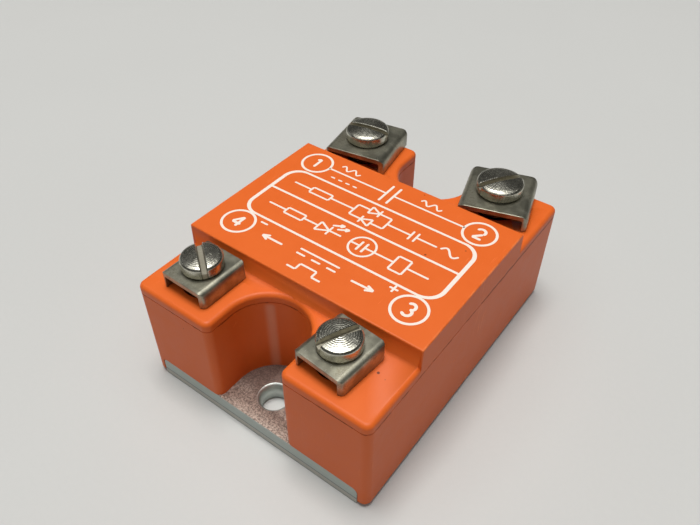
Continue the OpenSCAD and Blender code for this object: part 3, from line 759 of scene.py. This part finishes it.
# an arrow from its tail to its tip, with two barbs
def arrow(tail, tip, barb=legend["barb"]):
    tail, tip = np.array(tail), np.array(tip)
    back = (tail - tip) / np.hypot(*(tail - tip))
    side = np.array([-back[1], back[0]])
    ends = [tip + barb * (back + s * legend["barbSpread"] * side) for s in (-1, 1)]
    return line(tail, tip, width=legend["arrow"]) + [part for end in ends
                                                     for part in line(tip, end, width=legend["arrow"])]


# a triangle with a bar at its tip, the sign of a diode; way is the side it points to
def diode(x, y, size, way):
    tip, back = (x + way * size, y), x - way * size
    return line(tip, (back, y + size), (back, y - size), tip) + line(
        (x + way * size, y - size), (x + way * size, y + size))


# a resistor's box
def boxSign(x, y, length, height):
    return line((x, y - height / 2), (x + length, y - height / 2), (x + length, y + height / 2),
                (x, y + height / 2), (x, y - height / 2))


# below the frame: an arrow to each circle, minus and plus, a bar over three dashes, and a pulse; minus, plus
# and bar are a height and two ends
controlSigns = {"arrows": (((-7.1, -11.5), (-11.3, -11.5)), ((6.5, -11.5), (10.6, -11.4))),
                "minus": (-9.2, -13.75, -12.2), "plus": (-9.1, 11.9, 13.5), "plusX": 12.7,
                "plusEnds": (-9.9, -8.3), "bar": (-10.4, -4.2, 3.6),
                "dashX": (-4.2, -1.2, 1.8), "dash": 1.8, "dashY": -11.5,
                "pulse": ((-3.6, -14.6), (-1.9, -14.6), (-1.9, -13.2), (1.3, -13.2), (1.3, -14.6),
                          (3.0, -14.6))}


def controlStrokes():
    signs = controlSigns
    strokes = [part for ends in signs["arrows"] for part in arrow(*ends)]
    strokes += level(*signs["minus"]) + level(*signs["plus"])
    strokes += line(*((signs["plusX"], end) for end in signs["plusEnds"])) + level(*signs["bar"])
    for x in signs["dashX"]:
        strokes += level(signs["dashY"], x, x + signs["dash"])
    return strokes + line(*signs["pulse"])


printed("legend_control", controlStrokes())

# in the frame's upper half: a resistor, two diodes back to back in a loop, a capacitor and a wave;
# a box is its left end, length and height
powerSigns = {"y": 2.7, "left": -16.4, "box": (-12.6, 4.2, 1.5), "boxEnd": -8.4, "loop": 3.4,
              "diodeY": (4.2, 1.25), "diode": 0.95, "plates": (8.1, 9.1), "plateEnds": (1.5, 3.9),
              "right": 13.0, "waveX": 13.6, "wave": (3.4, 0.75, 1)}


def powerStrokes():
    signs, y, (high, low) = powerSigns, powerSigns["y"], powerSigns["diodeY"]
    boxX, boxLength, boxHeight = signs["box"]
    strokes = level(y, signs["left"], boxX) + boxSign(boxX, y, boxLength, boxHeight)
    strokes += level(y, signs["boxEnd"], -signs["loop"])
    strokes += diode(0, high, signs["diode"], 1) + diode(0, low, signs["diode"], -1)
    for side in (-1, 1):
        strokes += line((side * signs["diode"], high), (side * signs["loop"], high),
                        (side * signs["loop"], low), (side * signs["diode"], low))
    strokes += level(y, signs["loop"], signs["plates"][0])
    for x in signs["plates"]:
        strokes += line(*((x, end) for end in signs["plateEnds"]))
    strokes += level(y, signs["plates"][1], signs["right"])
    return strokes + [stroke(sineWave(signs["waveX"], y, *signs["wave"]), legend["thin"])]


printed("legend_power", powerStrokes())

# in the lower half: a resistor, a lamp diode with two light arrows, two bars in a circle and a box
driverSigns = {"y": -4.3, "left": -16.2, "box": (-12.4, 3.8, 1.5), "boxEnd": -8.6,
               "lampLeft": -5.6, "lamp": -4.4, "lampSize": 1.15, "lampRight": -3.2, "lampEnd": -0.8,
               "light": (((-3.6, -2.9), (-1.7, -1.9)), ((-2.4, -3.3), (-0.5, -2.3))), "barb": 0.8,
               "circle": 3.4, "circleSize": 2.3, "circleX": (1.1, 5.7), "bars": (2.9, 3.9),
               "barEnds": (-5.5, -3.1),
               "last": (9.4, 2.4, 3.4), "lastEnd": 11.8, "right": 15.8}


def driverStrokes():
    signs, y = driverSigns, driverSigns["y"]
    boxX, boxLength, boxHeight = signs["box"]
    lastX, lastLength, lastHeight = signs["last"]
    strokes = level(y, signs["left"], boxX) + boxSign(boxX, y, boxLength, boxHeight)
    strokes += level(y, signs["boxEnd"], signs["lampLeft"]) + diode(signs["lamp"], y, signs["lampSize"], 1)
    strokes += level(y, signs["lampRight"], signs["lampEnd"])
    for ends in signs["light"]:
        strokes += arrow(*ends, signs["barb"])
    strokes.append(ring(signs["circle"], y, signs["circleSize"], legend["thin"]))
    for x in signs["bars"]:
        strokes += line(*((x, end) for end in signs["barEnds"]), width=legend["arrow"])
    strokes += level(y, signs["circleX"][0], signs["bars"][0])
    strokes += level(y, signs["bars"][1], signs["circleX"][1])
    strokes += level(y, signs["circleX"][1], lastX) + boxSign(lastX, y, lastLength, lastHeight)
    return strokes + level(y, signs["lastEnd"], signs["right"])


printed("legend_driver", driverStrokes())
print("legend printed")


# ---- pieces that keep their CAD shape ----

# each ring's place along the part, from 0 to 1, and its colour
resistorRings = [(0.2, (120, 60, 30)), (0.36, (20, 20, 20)), (0.52, (200, 60, 30)), (0.8, (190, 150, 60))]
blackPart = makeMatt("part_black", tone(34, 34, 36), tone(60, 60, 62), 0.5)
nodeFinish = {
    "substrate": makeMatt("alumina", tone(236, 233, 226), tone(205, 200, 190), 0.6, 0.05),
    "silicon": makePlated("silicon", tone(96, 98, 112), tone(70, 72, 90), 0.16),
    "copper": makePlated("copper", tone(214, 132, 96), tone(122, 66, 44), 0.3, (1, 9, 1)),
    "post": makePlated("plated_post", tone(190, 178, 142), tone(120, 100, 70), 0.3, (1, 1, 12)),
    "pins": makePlated("plated_pins", tone(216, 190, 130), tone(150, 120, 76), 0.25, (1, 1, 8)),
    "board": makeBoard(),
    "capacitor": makeMatt("capacitor_box", tone(172, 48, 40), tone(196, 80, 66), 0.3, 0.3),
    "potting": makeMatt("potting_resin", tone(42, 44, 48), tone(64, 66, 70), 0.32, 0.8, 0.04),
}
finishOf = {"substrate": "substrate", "gate_pins": "pins", "driver_board": "board",
            "snubber_capacitor": "capacitor", "potting": "potting",
            **{f"terminal_post_{n}": "post" for n in range(1, 5)},
            **{f"{name}_{n}": "copper" for name in ("track_pad", "cross_clip", "load_strap") for n in (1, 2)},
            **{f"control_strap_{n}": "copper" for n in (3, 4)},
            **{f"thyristor_{n}": "silicon" for n in (1, 2)}}
for node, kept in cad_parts.items():
    if node in finishOf:
        chosen = nodeFinish[finishOf[node]]
    elif node in ("opto_coupler", "input_diode", "driver_transistor"):
        chosen = blackPart
    elif node.endswith("resistor"):
        chosen = makeResistor(f"{node}_lacquer", node, resistorRings)
    else:
        continue                                          # replaced by an eased or turned piece
    for holder in kept.material_slots:
        holder.material = chosen
print("inner parts finished")


# ---- table top ----

# a sheet that turns up far off by rise (r / R)^6 as a plain backdrop; it lies flat round the relay
tableTop = {"radius": 3200, "rise": 1500, "below": 0.02, "rings": 40, "spokes": 64}
ringAt, spokeAt = np.meshgrid(np.linspace(0, 1, tableTop["rings"]) ** 2,
                              np.linspace(0, 2 * math.pi, tableTop["spokes"], endpoint=False), indexing="ij")
tablePoints = np.stack([ringAt * np.cos(spokeAt) * tableTop["radius"],
                        ringAt * np.sin(spokeAt) * tableTop["radius"],
                        -tableTop["below"] + tableTop["rise"] * ringAt ** 6], -1) * mm
tableQuads = gridQuads(tableTop["rings"], tableTop["spokes"], loopCols=True)
table = makePiece("table", tablePoints, tableQuads, makeTable())
print("table laid")
